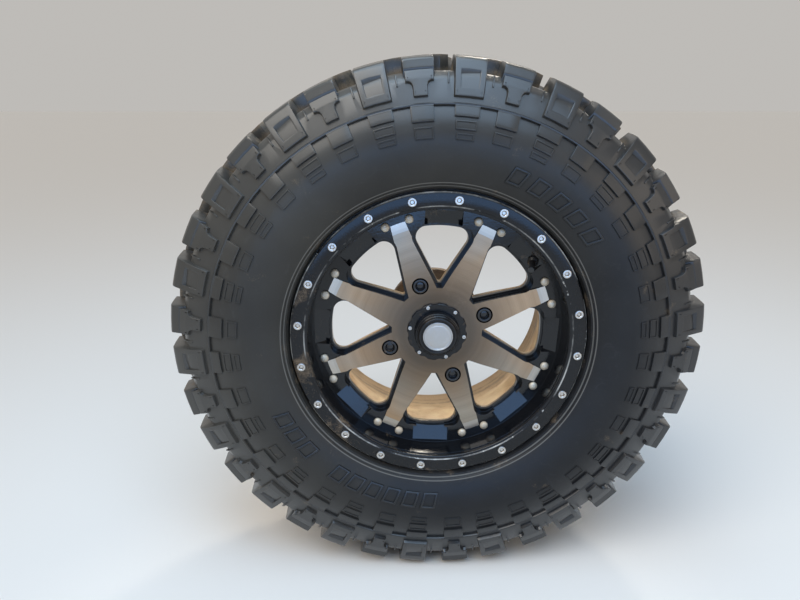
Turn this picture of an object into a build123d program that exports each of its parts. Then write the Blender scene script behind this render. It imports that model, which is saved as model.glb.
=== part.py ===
from build123d import *

import os
from math import asin, atan2, cos, degrees, radians, sin, tan

# An off-road wheel for a utility terrain vehicle: a lugged tyre on an eight-spoke alloy wheel with a
# bolted outer ring, carried by a hub that turns in a bolt-on bearing housing.
#
# Millimetres. The wheel axis is Y. The origin is the centre of the housing's back face, where it
# bolts to the vehicle's knuckle. Outboard is -Y and up is +Z. Depths called "out" are measured from
# the wheel's centre plane, positive outboard, and angles are counter-clockwise as seen from outside,
# with 90 degrees at the top.

# Wheel size and barrel
rim_diameter = 355.6
rim_width = 177.8
wheel_offset = 38.0
mount_face_depth = 70.0
flange_height = 18.1
flange_thickness = 4.1
barrel_wall = 6.5
bead_seat_width = 24.0
drop_centre_depth = 17.8
rear_step_depth = 7.8

# Outer ring and its bolts
ring_thickness = 9.0
ring_width = 22.9
ring_chamfer = 1.6
ring_bolt_count = 20
ring_bolt_inset = 10.1
ring_bolt_first_angle = 101.17
ring_bolt_head_diameter = 11.0
ring_bolt_head_height = 2.6
ring_bolt_socket = 5.0
ring_bolt_socket_depth = 1.8

# Spokes, the frame around them and the windows between them
spoke_count = 8
spoke_first_angle = 110.0
spoke_face_behind_ring = 36.0
spoke_relief = 2.5
spoke_tip_width = 16.7
spoke_tip_inset = 13.3
spoke_tip_bevel = 12.0
frame_width = 22.3
frame_thickness = 19.5
window_apex_radius = 62.0
window_apex_width = 8.0
window_corner_radius = 15.0
window_apex_fillet = 2.5
window_edge_land = 0.6
window_ledge = 3.5
window_ledge_depth = 13.0
pocket_width = 50.0
pocket_inset = 4.3
pocket_fall = 8.4

# Rivets on the frame, two at each spoke
rivet_inset = 11.2
rivet_angle_from_spoke = 5.98
rivet_diameter = 12.0
rivet_height = 4.0
rivet_rim_height = 1.0

# Lug nuts, studs and the bores of the centre
lug_count = 4
lug_circle = 137.0
lug_counterbore_diameter = 22.5
lug_counterbore_depth = 12.0
lug_seat_angle = 60.0
stud_diameter = 12.0
stud_head_diameter = 18.0
stud_head_height = 4.0
stud_hole_clearance = 1.5
thread_clearance = 0.1
nut_diameter = 19.0
nut_socket_diameter = 13.0
nut_socket_depth = 7.0
nut_floor = 3.0
nut_proud = 1.0
nut_chamfer = 1.0
seat_clearance = 0.1
pilot_bore_diameter = 110.0
pilot_bore_depth = 12.0
cap_bore_diameter = 76.0

# Centre cap
cap_flange_overlap = 3.0
cap_flange_height = 4.0
cap_flange_chamfer = 1.0
cap_scallop_count = 12
cap_scallop_radius = 9.0
cap_scallop_depth = 2.0
cap_dome_diameter = 61.2
cap_dome_height = 21.0
cap_dome_step = 3.0
cap_dome_chamfer = 5.0
cap_dome_sunk = 3.0
cap_skirt_depth = 10.0
cap_screw_count = 6
cap_screw_inset = 3.5
cap_screw_diameter = 5.0
cap_screw_height = 1.4
emblem_diameter = 40.0
emblem_height = 1.5
emblem_sunk = 1.0

# Valve, in the pocket of one window
valve_window = 1
valve_shift = 14.0
valve_inset = 11.3
valve_hole_diameter = 11.5
valve_base_diameter = 15.0
valve_base_height = 3.0
valve_stem_diameter = 9.0
valve_length = 26.0
valve_cap_diameter = 8.0
valve_cap_length = 8.0
valve_root = 12.0

# Hub, bearing and housing
hub_flange_thickness = 10.0
hub_waist_margin = 3.0
hub_lobe_diameter = 30.0
hub_pilot_height = 10.0
hub_pilot_chamfer = 2.0
hub_journal_diameter = 40.0
hub_journal_gap = 8.0
running_clearance = 0.05
hub_to_housing = 6.0
bearing_outer_diameter = 72.0
bearing_width = 36.0
bearing_recess = 3.0
bearing_shoulder = 6.0
housing_wall = 8.0
housing_floor = 4.0
housing_flange_diameter = 132.0
housing_flange_thickness = 12.0
housing_spigot_diameter = 80.0
housing_spigot_height = 10.0
housing_bolt_count = 4
housing_bolt_circle = 108.0
housing_bolt_hole = 10.5

# Tyre casing
tyre_diameter = 718.0
tyre_width = 245.0
crown_drop = 7.0
tread_depth = 18.0
shoulder_depth = 16.0
shoulder_inset = 25.5
shoulder_groove_inset = 7.0
sidewall_rib_drop = 52.0
sidewall_rib_inset = 9.0
sidewall_widest_share = 0.375
sidewall_foot_height = 9.0
sidewall_foot_bulge = 6.5
casing_wall = 11.5
crown_wall = 14.0
ring_gap = 1.3
bead_width = 17.0
bead_heel = 4.0
bead_clearance = 0.1

# Tyre tread: two kinds of shoulder lug and two centre blocks on each side of every pitch
pitch_count = 18
lug_root = 5.0
lug_foot_height = 2.0
lug_foot_proud = 1.3
window_lug_angle = 84.6
window_lug_width = 39.6
window_lug_reach = 45.0
window_lug_recess = (23.5, 19.0, 4.0)
window_lug_recess_drop = 15.0
stepped_lug_angle = 75.0
stepped_lug_reach = 39.0
# widths of the stepped lug's three steps, with their top and bottom below the shoulder and their setback
stepped_top = (38.8, 9.0)
stepped_middle = (33.4, 12.0, 33.0, 1.5)
stepped_tab = (17.0, 31.0, 46.0, 2.0)
# plans of the centre blocks: (along the tread, out from its middle)
long_block_plan = ((-24, 6), (16, 6), (26, 30), (26, 44), (-14, 44), (-24, 22))
short_block_plan = ((-20, 5), (18, 5), (18, 34), (6, 46), (-20, 40))
centre_block_lead = 4.0

# Values worked out from the driving dimensions
bead_radius = rim_diameter / 2
flange_radius = bead_radius + flange_height
ring_inner_radius = flange_radius - ring_width
half_rim = rim_width / 2
flange_out = half_rim + flange_thickness
centre_y = wheel_offset - mount_face_depth
mount_out = wheel_offset
ring_face_out = flange_out + ring_thickness
face_out = ring_face_out - spoke_face_behind_ring
frame_out = face_out - spoke_relief
frame_back_out = frame_out - frame_thickness
frame_radius = bead_radius - barrel_wall
window_radius = frame_radius - frame_width
tip_radius = frame_radius - spoke_tip_inset
valve_radius = frame_radius - valve_inset
lug_radius = lug_circle / 2
cap_bore_radius = cap_bore_diameter / 2
cap_flange_radius = cap_bore_radius + cap_flange_overlap
hub_back_out = mount_out - hub_flange_thickness
housing_front_out = hub_back_out - hub_to_housing
housing_back_out = centre_y
spoke_step = 360 / spoke_count
spoke_angles = [spoke_first_angle - spoke_step * k for k in range(spoke_count)]
window_angles = [angle - spoke_step / 2 for angle in spoke_angles]
lug_angles = [spoke_first_angle - 360 / lug_count * k for k in range(lug_count)]
tread_radius = tyre_diameter / 2
shoulder_radius = tread_radius - crown_drop
tread_floor_radius = tread_radius - tread_depth
shoulder_floor_radius = shoulder_radius - shoulder_depth
rib_radius = shoulder_radius - sidewall_rib_drop
half_tyre = tyre_width / 2
shoulder_out = half_tyre - shoulder_inset
shoulder_floor_out = shoulder_out - shoulder_groove_inset
rib_out = half_tyre - sidewall_rib_inset
pitch_angle = 360 / pitch_count
front = Plane.XZ
middle_plane = Plane(origin=(0, centre_y, 0), x_dir=(1, 0, 0), z_dir=(0, 1, 0))


def at(radius, out):
    """A point of a turned outline, from its radius and its depth out of the centre plane."""
    return (radius, centre_y - out)


def turned(*points):
    """A solid turned about the wheel axis from a straight-sided outline of (radius, out) points."""
    return revolve(make_face(Polyline(*[at(*p) for p in points], close=True)), Axis.Y)


def small_turned(*points):
    """A small turned solid on the wheel axis: (radius, height) points, its height pointing outboard."""
    return revolve(make_face(Polyline(*[(r, -h) for r, h in points], close=True)), Axis.Y)


def drill(radius, low, high):
    """A round cutter on the wheel axis, between two heights."""
    return small_turned((0, low), (radius, low), (radius, high), (0, high))


def turn_to(piece, angle):
    """The piece, modelled at the top of the wheel, turned to an angle."""
    return piece.rotate(Axis.Y, 90 - angle)


def placed(piece, radius, angle, out):
    """The piece, modelled on the wheel axis, moved out to a radius, an angle and a depth."""
    return turn_to(Pos(0, centre_y - out, radius) * piece, angle)


def plate(face, low_out, high_out):
    """A face drawn on the wheel's front, made solid between two depths."""
    lifted = Pos(0, centre_y - low_out, 0) * (front * face)
    return extrude(lifted, high_out - low_out, dir=(0, -1, 0))


def block(width, *points):
    """A solid of an even width across the top of the wheel, from its outline of (out, radius) points."""
    side = Plane(origin=(-width / 2, 0, 0), x_dir=(0, 1, 0), z_dir=(1, 0, 0))
    face = make_face(Polyline(*[(centre_y - out, radius) for out, radius in points], close=True))
    return extrude(side * face, width)


def save(name, pieces):
    """Write a node's solids to its file."""
    solids = pieces if isinstance(pieces, list) else [pieces]
    found = [solid for piece in solids for solid in piece.solids()]
    export_step(found[0] if len(found) == 1 else Compound(children=found), f"parts/{name}.step")


# The alloy wheel


def barrel():
    """The rim's barrel with both flanges, bead seats and the drop centre."""
    seat_end = half_rim - bead_seat_width
    drop_radius = bead_radius - drop_centre_depth
    rear_radius = bead_radius - rear_step_depth
    return turned(
        (flange_radius, flange_out),
        (ring_inner_radius, flange_out),
        (frame_radius, frame_out),
        (drop_radius - barrel_wall, frame_back_out),
        (drop_radius - barrel_wall, 0),
        (rear_radius - barrel_wall, -seat_end / 2),
        (frame_radius, barrel_wall - half_rim),
        (frame_radius, -flange_out),
        (flange_radius, -flange_out),
        (flange_radius, -half_rim),
        (bead_radius, -half_rim),
        (bead_radius, -seat_end),
        (rear_radius, -seat_end / 2),
        (drop_radius, 0),
        (drop_radius, frame_back_out - barrel_wall),
        (bead_radius, seat_end),
        (bead_radius, half_rim),
        (flange_radius, half_rim),
    )


def centre_disc():
    """The disc that the spokes are cut from, with the bores for the hub's pilot and the cap."""
    inside_barrel = bead_radius - drop_centre_depth - barrel_wall / 2
    hub_pad = lug_radius + lug_counterbore_diameter
    pilot = pilot_bore_diameter / 2
    return turned(
        (cap_bore_radius, face_out),
        (tip_radius - spoke_tip_bevel, face_out),
        (tip_radius, frame_out),
        (frame_radius + barrel_wall / 4, frame_out),
        (inside_barrel, frame_back_out),
        (window_radius, frame_back_out),
        (hub_pad, mount_out),
        (pilot, mount_out),
        (pilot, mount_out + pilot_bore_depth),
        (cap_bore_radius, mount_out + pilot_bore_depth),
    )


def window_face(outer_radius, inset):
    """The outline of the gap between two spokes, centred on the top, its sides moved in by inset."""
    half = radians(spoke_step / 2) - asin(spoke_tip_width / 2 / outer_radius)
    side, top = outer_radius * sin(half), outer_radius * cos(half)
    apex = window_apex_width / 2
    sides = Polyline((side, top), (apex, window_apex_radius), (-apex, window_apex_radius), (-side, top))
    rim_side = ThreePointArc((-side, top), (0, outer_radius), (side, top))
    face = make_face(Curve() + [sides, rim_side])
    return offset(face, -inset, kind=Kind.INTERSECTION) if inset else face


def window_cut(inset, low_out):
    """The cutter of one window, with rounded corners, from the front down to a depth."""
    face = window_face(window_radius, inset)
    face = fillet(face.vertices().sort_by(Axis.Y)[-2:], window_corner_radius)
    face = fillet(face.vertices().sort_by(Axis.Y)[:2], window_apex_fillet)
    return plate(face, low_out, ring_face_out)


def relief_cut():
    """The cutter that leaves the spokes' machined faces proud of the frame."""
    blank = plate(window_face(bead_radius, 0), frame_out, ring_face_out)
    limit = tip_radius + 1
    return blank & turned((0, frame_out), (limit, frame_out), (limit, ring_face_out), (0, ring_face_out))


def pocket_cut():
    """The cutter of the flat, sloping pocket in the frame outside one window."""
    top = frame_radius - pocket_inset
    bottom = window_radius - 2
    return block(
        pocket_width,
        (ring_face_out, top),
        (frame_out, top),
        (frame_out - pocket_fall, bottom),
        (ring_face_out, bottom),
    )


def lug_hole_cut():
    """The counterbore, the tapered seat and the hole for one stud."""
    hole = (stud_diameter + stud_hole_clearance) / 2
    bore = lug_counterbore_diameter / 2
    taper = (bore - hole) / tan(radians(lug_seat_angle / 2))
    bottom = mount_out - face_out - 1
    return small_turned(
        (0, 1),
        (bore, 1),
        (bore, -lug_counterbore_depth),
        (hole, -lug_counterbore_depth - taper),
        (hole, bottom),
        (0, bottom),
    )


def rim():
    """The alloy wheel in one casting: barrel, frame, spokes and centre."""
    wheel = barrel() + centre_disc()
    cuts = [
        relief_cut(),
        window_cut(window_edge_land, face_out - window_ledge_depth),
        window_cut(window_edge_land + window_ledge, 0),
        pocket_cut(),
    ]
    for cut in cuts:
        wheel -= [turn_to(cut, angle) for angle in window_angles]
    wheel -= [placed(lug_hole_cut(), lug_radius, angle, face_out) for angle in lug_angles]
    return wheel - in_valve_pocket(drill(valve_hole_diameter / 2, -2 * valve_root, 1))


def beadlock_ring():
    """The flat ring bolted over the outboard flange."""
    return turned(
        (ring_inner_radius, flange_out),
        (flange_radius, flange_out),
        (flange_radius, ring_face_out - ring_chamfer),
        (flange_radius - ring_chamfer, ring_face_out),
        (ring_inner_radius + ring_chamfer, ring_face_out),
        (ring_inner_radius, ring_face_out - ring_chamfer),
    )


def ring_bolts():
    """The socket screws on the ring's face."""
    hexagon = RegularPolygon(ring_bolt_socket / 2, 6, major_radius=False)
    top = Pos(0, -ring_bolt_head_height, 0) * (front * hexagon)
    socket = extrude(top, ring_bolt_socket_depth, dir=(0, 1, 0))
    bolt = drill(ring_bolt_head_diameter / 2, 0, ring_bolt_head_height) - socket
    step = 360 / ring_bolt_count
    angles = [ring_bolt_first_angle - step * k for k in range(ring_bolt_count)]
    return [placed(bolt, flange_radius - ring_bolt_inset, angle, ring_face_out) for angle in angles]


def spoke_rivets():
    """The domed heads on the frame, one each side of every spoke."""
    edge = rivet_diameter / 2
    rise = rivet_height - rivet_rim_height
    ball = (edge**2 + rise**2) / (2 * rise)
    half = asin(edge / ball) / 2
    middle = (ball * sin(half), ball - rivet_height - ball * cos(half))
    crown = ThreePointArc((edge, -rivet_rim_height), middle, (0, -rivet_height))
    foot = Polyline((0, -rivet_height), (0, 0), (edge, 0), (edge, -rivet_rim_height))
    rivet = revolve(make_face(Curve() + [crown, foot]), Axis.Y)
    angles = [angle + side * rivet_angle_from_spoke for angle in spoke_angles for side in (-1, 1)]
    return [placed(rivet, frame_radius - rivet_inset, angle, frame_out) for angle in angles]


def lug_nuts():
    """Closed tapered nuts with a round socket, seated on the counterbores' cones."""
    edge = nut_diameter / 2
    hole = (stud_diameter + stud_hole_clearance) / 2
    bore = lug_counterbore_diameter / 2
    steep = tan(radians(lug_seat_angle / 2))
    shoulder = seat_clearance - lug_counterbore_depth - (bore - edge) / steep
    tip = seat_clearance - lug_counterbore_depth - (bore - hole) / steep
    socket = nut_socket_diameter / 2
    socket_floor = nut_proud - nut_socket_depth
    thread = stud_diameter / 2 + thread_clearance
    nut = small_turned(
        (edge, shoulder),
        (edge, nut_proud - nut_chamfer),
        (edge - nut_chamfer, nut_proud),
        (socket, nut_proud),
        (socket, socket_floor),
        (0, socket_floor),
        (0, socket_floor - nut_floor),
        (thread, socket_floor - nut_floor),
        (thread, tip),
        (hole, tip),
    )
    return [placed(nut, lug_radius, angle, face_out) for angle in lug_angles]


def in_valve_pocket(piece):
    """A piece modelled on the wheel axis, set square on the sloping pocket beside the valve's window."""
    fall = pocket_fall / (frame_radius - pocket_inset - window_radius + 2)
    depth = frame_out - fall * (frame_radius - pocket_inset - valve_radius)
    tilted = piece.rotate(Axis.X, degrees(atan2(fall, 1)))
    return turn_to(Pos(valve_shift, centre_y - depth, valve_radius) * tilted, window_angles[valve_window])


def valve_stem():
    """The rubber valve, with its cap."""
    stem = valve_stem_diameter / 2
    base = valve_base_diameter / 2
    root = valve_hole_diameter / 2 - seat_clearance
    cap = valve_cap_diameter / 2
    cap_foot = valve_length - valve_cap_length
    return in_valve_pocket(
        small_turned(
            (0, -valve_root),
            (root, -valve_root),
            (root, 0),
            (base, 0),
            (base, valve_base_height),
            (stem, 2 * valve_base_height),
            (0.8 * cap, cap_foot),
            (cap, cap_foot),
            (cap, valve_length),
            (0, valve_length),
        )
    )


# The centre cap


def centre_cap():
    """The scalloped cap over the centre bore, with the skirt that holds it there."""
    skirt = cap_bore_radius - seat_clearance
    well = cap_dome_diameter / 2 + seat_clearance
    top = face_out + cap_flange_height
    cap = turned(
        (0, face_out - cap_skirt_depth),
        (skirt, face_out - cap_skirt_depth),
        (skirt, face_out),
        (cap_flange_radius, face_out),
        (cap_flange_radius, top - cap_flange_chamfer),
        (cap_flange_radius - cap_flange_chamfer, top),
        (well, top),
        (well, top - cap_dome_sunk),
        (0, top - cap_dome_sunk),
    )
    bite = drill(cap_scallop_radius, 0, cap_flange_height + 1)
    reach = cap_flange_radius + cap_scallop_radius - cap_scallop_depth
    step = 360 / cap_scallop_count
    angles = [spoke_first_angle + step * (k + 0.5) for k in range(cap_scallop_count)]
    return cap - [placed(bite, reach, angle, face_out) for angle in angles]


def cap_dome():
    """The raised round middle of the cap, with a shallow well for the badge."""
    edge = cap_dome_diameter / 2
    top = face_out + cap_dome_height
    well = emblem_diameter / 2 + seat_clearance
    return turned(
        (0, face_out + cap_flange_height - cap_dome_sunk),
        (edge, face_out + cap_flange_height - cap_dome_sunk),
        (edge, top - cap_dome_step - cap_dome_chamfer),
        (edge - cap_dome_step, top - cap_dome_chamfer),
        (edge - cap_dome_step - cap_dome_chamfer / 2, top),
        (well, top),
        (well, top - emblem_sunk),
        (0, top - emblem_sunk),
    )


def cap_emblem():
    """A plain round badge in the middle of the cap."""
    edge = emblem_diameter / 2
    foot = face_out + cap_dome_height - emblem_sunk
    return turned(
        (0, foot),
        (edge, foot),
        (edge, foot + emblem_height - 0.5),
        (edge - 0.5, foot + emblem_height),
        (0, foot + emblem_height),
    )


def cap_screws():
    """The small screws around the cap's flange."""
    screw = drill(cap_screw_diameter / 2, 0, cap_screw_height)
    step = 360 / cap_screw_count
    angles = [spoke_first_angle + step * k for k in range(cap_screw_count)]
    radius = cap_flange_radius - cap_screw_inset
    return [placed(screw, radius, angle, face_out + cap_flange_height) for angle in angles]


# The hub and what it turns in


def wheel_hub():
    """The hub: a four-lobed flange for the wheel, a pilot for its bore and a journal for the bearing."""
    journal = hub_journal_diameter / 2
    pilot = pilot_bore_diameter / 2 - 2 * seat_clearance
    pilot_top = mount_out + hub_pilot_height
    waist = pilot + hub_waist_margin
    body = turned(
        (0, pilot_top),
        (pilot - hub_pilot_chamfer, pilot_top),
        (pilot, pilot_top - hub_pilot_chamfer),
        (pilot, mount_out),
        (waist, mount_out),
        (waist, hub_back_out),
        (journal, hub_back_out),
        (journal, housing_back_out + hub_journal_gap),
        (0, housing_back_out + hub_journal_gap),
    )
    lobe = Pos(0, lug_radius) * Circle(hub_lobe_diameter / 2)
    arm = Pos(0, lug_radius / 2) * Rectangle(hub_lobe_diameter, lug_radius)
    blank = plate(lobe + arm, hub_back_out, mount_out)
    hole = drill(stud_diameter / 2 + thread_clearance, -1, hub_flange_thickness + 1)
    body += [turn_to(blank, angle) for angle in lug_angles]
    return body - [placed(hole, lug_radius, angle, hub_back_out) for angle in lug_angles]


def wheel_studs():
    """The studs, from their heads behind the hub's flange to just under the nuts' sockets."""
    nut_ceiling = face_out + nut_proud - nut_socket_depth - nut_floor
    length = nut_ceiling - seat_clearance - hub_back_out
    stud = small_turned(
        (0, -stud_head_height),
        (stud_head_diameter / 2, -stud_head_height),
        (stud_head_diameter / 2, 0),
        (stud_diameter / 2, 0),
        (stud_diameter / 2, length),
        (0, length),
    )
    return [placed(stud, lug_radius, angle, hub_back_out) for angle in lug_angles]


def hub_bearing():
    """The double-row bearing, as one ring from the journal to the housing."""
    face = housing_front_out - bearing_recess
    inner = hub_journal_diameter / 2 + running_clearance
    outer = bearing_outer_diameter / 2
    return turned((inner, face), (outer, face), (outer, face - bearing_width), (inner, face - bearing_width))


def bearing_housing():
    """The housing, closed at its back, with the flange and spigot that fit the knuckle."""
    bearing_back = housing_front_out - bearing_recess - bearing_width
    bore = bearing_outer_diameter / 2
    outside = bore + housing_wall
    hollow = bore - bearing_shoulder
    flange = housing_flange_diameter / 2
    spigot = housing_spigot_diameter / 2
    housing = turned(
        (bore, housing_front_out),
        (outside, housing_front_out),
        (outside, housing_back_out + housing_flange_thickness),
        (flange, housing_back_out + housing_flange_thickness),
        (flange, housing_back_out),
        (spigot, housing_back_out),
        (spigot, housing_back_out - housing_spigot_height),
        (0, housing_back_out - housing_spigot_height),
        (0, housing_back_out + housing_floor),
        (hollow, housing_back_out + housing_floor),
        (hollow, bearing_back),
        (bore, bearing_back),
    )
    hole = drill(housing_bolt_hole / 2, -1, housing_flange_thickness + 1)
    step = 360 / housing_bolt_count
    angles = [step * (k + 0.5) for k in range(housing_bolt_count)]
    return housing - [placed(hole, housing_bolt_circle / 2, angle, housing_back_out) for angle in angles]


# The tyre


def floor_radius(out):
    """The radius of the tread grooves' floor at a depth."""
    return tread_floor_radius - (tread_floor_radius - shoulder_floor_radius) * out / shoulder_floor_out


def crown_radius(out):
    """The radius of the tread's face at a depth."""
    return tread_radius - crown_drop * (out / shoulder_out) ** 2


def groove_side_out(radius):
    """How far out the casing lies between the shoulder lugs at a radius."""
    share = (radius - rib_radius) / (shoulder_floor_radius - rib_radius)
    return rib_out + (shoulder_floor_out - rib_out) * share


def lug_side_out(radius):
    """How far out the shoulder lugs' sides stand at a radius."""
    share = (radius - rib_radius) / (shoulder_radius - rib_radius)
    return rib_out + lug_foot_proud + (shoulder_out - rib_out - lug_foot_proud) * share


def casing():
    """The tyre's hollow casing, from bead to bead, at the depth of the tread's grooves."""
    bead = bead_radius + bead_clearance
    heel_out = half_rim - bead_clearance
    toe_out = heel_out - bead_width
    over = flange_radius + ring_gap
    foot = at(over + sidewall_foot_height, ring_face_out + sidewall_foot_bulge)
    widest = flange_radius + sidewall_widest_share * (tread_radius - flange_radius)
    rib = at(rib_radius, rib_out)
    inner_side = half_tyre - casing_wall
    half = Curve() + [
        Polyline(at(tread_floor_radius, 0), at(shoulder_floor_radius, shoulder_floor_out), rib),
        ThreePointArc(rib, at(widest, half_tyre), foot),
        Polyline(
            foot,
            at(over + 1, flange_out + ring_thickness / 2),
            at(over, heel_out),
            at(bead + bead_heel, heel_out),
            at(bead, heel_out - bead_heel),
            at(bead, toe_out),
            at(over, toe_out + bead_heel),
            at((over + widest) / 2, inner_side - casing_wall),
            at(widest + casing_wall, inner_side - 1),
            at(rib_radius + casing_wall, rib_out - 2 * casing_wall),
            at(tread_floor_radius - crown_wall, 0),
        ),
    ]
    return revolve(make_face(half + mirror(half, about=middle_plane)), Axis.Y)


def shoulder_lug(width, low, reach):
    """A lug of an even width from a low radius on the sidewall, over the shoulder and in by its reach."""
    inner = shoulder_out - reach
    root_radius = min(low, shoulder_floor_radius)
    return block(
        width,
        (lug_side_out(low), low),
        (shoulder_out, shoulder_radius),
        (inner, crown_radius(inner)),
        (inner, floor_radius(inner) - lug_root),
        (shoulder_floor_out - lug_root, shoulder_floor_radius - lug_root),
        (groove_side_out(root_radius) - lug_root, root_radius),
    )


def side_step(width, top, bottom, setback):
    """A step of a lug on the sidewall, between two drops below the shoulder, its face set back."""
    high, low = shoulder_radius - top, shoulder_radius - bottom
    return block(
        width,
        (lug_side_out(low) - setback, low),
        (lug_side_out(high) - setback, high),
        (groove_side_out(high) - lug_root, high),
        (groove_side_out(low) - lug_root, low),
    )


def window_lug():
    """A full shoulder lug with a square recess in its side."""
    width, height, depth = window_lug_recess
    high = shoulder_radius - window_lug_recess_drop
    low = high - height
    recess = block(
        width,
        (lug_side_out(low) + 1, low),
        (lug_side_out(high) + 1, high),
        (lug_side_out(high) - depth, high),
        (lug_side_out(low) - depth, low),
    )
    return shoulder_lug(window_lug_width, rib_radius + lug_foot_height, window_lug_reach) - recess


def stepped_lug():
    """A shoulder lug whose side narrows in steps down to a tab."""
    width, drop = stepped_top
    top = shoulder_lug(width, shoulder_radius - drop, stepped_lug_reach)
    return top + side_step(*stepped_middle) + side_step(*stepped_tab)


def centre_block(plan):
    """A block standing on the tread's floor, from its plan."""
    ground = Plane(origin=(0, centre_y, tread_floor_radius - lug_root), x_dir=(1, 0, 0), z_dir=(0, 0, 1))
    face = make_face(Polyline(*[(along, -out) for along, out in plan], close=True))
    return extrude(ground * face, tread_depth + lug_root - 1)


def tyre():
    """The tyre in one piece: casing, shoulder lugs on both sides and the blocks between them."""
    outboard = [
        turn_to(window_lug(), window_lug_angle),
        turn_to(stepped_lug(), stepped_lug_angle),
        turn_to(centre_block(long_block_plan), window_lug_angle - centre_block_lead),
        turn_to(centre_block(short_block_plan), stepped_lug_angle - centre_block_lead),
    ]
    inboard = [mirror(piece, about=middle_plane).rotate(Axis.Y, pitch_angle / 2) for piece in outboard]
    turns = [pitch_angle * k for k in range(pitch_count)]
    blocks = [piece.rotate(Axis.Y, turn) for turn in turns for piece in outboard + inboard]
    return casing().fuse(*[solid for piece in blocks for solid in piece.solids()])


os.makedirs("parts", exist_ok=True)
nodes = (
    tyre,
    rim,
    beadlock_ring,
    ring_bolts,
    spoke_rivets,
    lug_nuts,
    valve_stem,
    centre_cap,
    cap_dome,
    cap_emblem,
    cap_screws,
    wheel_hub,
    wheel_studs,
    hub_bearing,
    bearing_housing,
)
for node in nodes:
    save(node.__name__, node())
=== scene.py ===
# %% [markdown]
# # A dusty off-road wheel
# The wheel of a utility terrain vehicle: a lugged tyre on an eight-spoke alloy rim with a bolted
# outer ring, turning on its hub. The solid model is loaded first as a fixed frame, and every piece
# below is modelled at its true size and place around it, in metres.

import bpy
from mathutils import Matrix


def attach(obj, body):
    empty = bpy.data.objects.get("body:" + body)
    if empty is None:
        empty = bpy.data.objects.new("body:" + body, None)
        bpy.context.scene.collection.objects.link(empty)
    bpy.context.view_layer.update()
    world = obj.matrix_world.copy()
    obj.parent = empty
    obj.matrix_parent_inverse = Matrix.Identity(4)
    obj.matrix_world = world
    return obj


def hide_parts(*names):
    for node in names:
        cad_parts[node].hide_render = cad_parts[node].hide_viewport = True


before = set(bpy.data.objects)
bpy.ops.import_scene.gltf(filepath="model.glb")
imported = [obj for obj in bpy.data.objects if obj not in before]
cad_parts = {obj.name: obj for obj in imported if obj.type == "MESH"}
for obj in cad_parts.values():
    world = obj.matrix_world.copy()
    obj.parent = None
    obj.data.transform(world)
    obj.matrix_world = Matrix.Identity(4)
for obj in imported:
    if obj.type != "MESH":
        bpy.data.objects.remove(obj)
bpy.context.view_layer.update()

# %% [markdown]
# The wheel turns about the Y axis, outboard is -Y and up is +Z. Depths called "out" are measured from
# the wheel's centre plane towards the viewer, in millimetres, because a tyre is drawn that way.

# %% Units, axes and small helpers
import math

import bmesh
import bpy
import numpy as np
from mathutils import Matrix, Vector

MM = 0.001
CENTRE_Y = -32 * MM


def at(radius, angle, out):
    """The point at a radius and a depth in millimetres, and an angle in degrees from +X towards +Z."""
    turn = math.radians(angle)
    return Vector((radius * math.cos(turn) * MM, CENTRE_Y - out * MM, radius * math.sin(turn) * MM))


def focus(piece):
    """Makes one object the only selected one, and the active one, in object mode."""
    if bpy.context.mode != "OBJECT":
        bpy.ops.object.mode_set(mode="OBJECT")
    bpy.ops.object.select_all(action="DESELECT")
    piece.select_set(True)
    bpy.context.view_layer.objects.active = piece


def edit(piece, kind="FACE"):
    """Opens one object in edit mode with nothing selected."""
    focus(piece)
    bpy.ops.object.mode_set(mode="EDIT")
    bpy.ops.mesh.select_mode(type=kind)
    bpy.ops.mesh.select_all(action="DESELECT")


def pick_all():
    """In edit mode, selects everything."""
    bpy.ops.mesh.select_all(action="SELECT")


def pick(piece, test, kind="FACE"):
    """In edit mode, selects only the faces or edges that pass a test."""
    bpy.ops.mesh.select_mode(type=kind)
    bpy.ops.mesh.select_all(action="DESELECT")
    shape = bmesh.from_edit_mesh(piece.data)
    chosen = [part for part in (shape.faces if kind == "FACE" else shape.edges) if test(part)]
    for part in chosen:
        part.select_set(True)
    bmesh.update_edit_mesh(piece.data)
    return len(chosen)


def is_sharp(edge, degrees=30):
    """Whether the two faces at an edge meet at more than an angle."""
    return len(edge.link_faces) == 2 and edge.calc_face_angle() > math.radians(degrees)


def middle(edge):
    """The middle of an edge."""
    return (edge.verts[0].co + edge.verts[1].co) / 2


def round_off(piece, where, width, segments=2, profile=0.5):
    """Bevels the sharp edges that pass a test, by a width in millimetres."""
    pick(piece, lambda edge: is_sharp(edge) and where(edge), "EDGE")
    bpy.ops.mesh.bevel(offset=width * MM, segments=segments, profile=profile, clamp_overlap=True)


def leave_edit(piece, name):
    """Closes edit mode, faces the piece's normals outwards, names it and smooths its rounded edges."""
    pick_all()
    bpy.ops.mesh.remove_doubles(threshold=0.002 * MM)
    bpy.ops.mesh.normals_make_consistent(inside=False)
    bpy.ops.object.mode_set(mode="OBJECT")
    piece.name = piece.data.name = name
    bpy.ops.object.shade_smooth_by_angle(angle=math.radians(32))
    return piece


def copy_round(piece, angles, name):
    """Turns a piece at the top of the wheel to each of the angles, as copies in one mesh."""
    edit(piece)
    first_faces = len(bmesh.from_edit_mesh(piece.data).faces)
    for angle in angles:
        pick(piece, lambda face: face.index < first_faces)
        bpy.ops.mesh.duplicate()
        bpy.ops.transform.rotate(value=math.radians(angle - 90), orient_axis="Y", center_override=(0, 0, 0))
    pick(piece, lambda face: face.index < first_faces)
    bpy.ops.mesh.delete(type="FACE")
    return leave_edit(piece, name)


def settle(piece, body, slot, materials, *nodes):
    """Gives a finished piece its materials, its body and the solids it stands for; its slot is not used."""
    for material in materials:
        piece.data.materials.append(material)
    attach(piece, body)
    if nodes:
        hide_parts(*nodes)
    print(piece.name, "faces:", len(piece.data.polygons))


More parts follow.
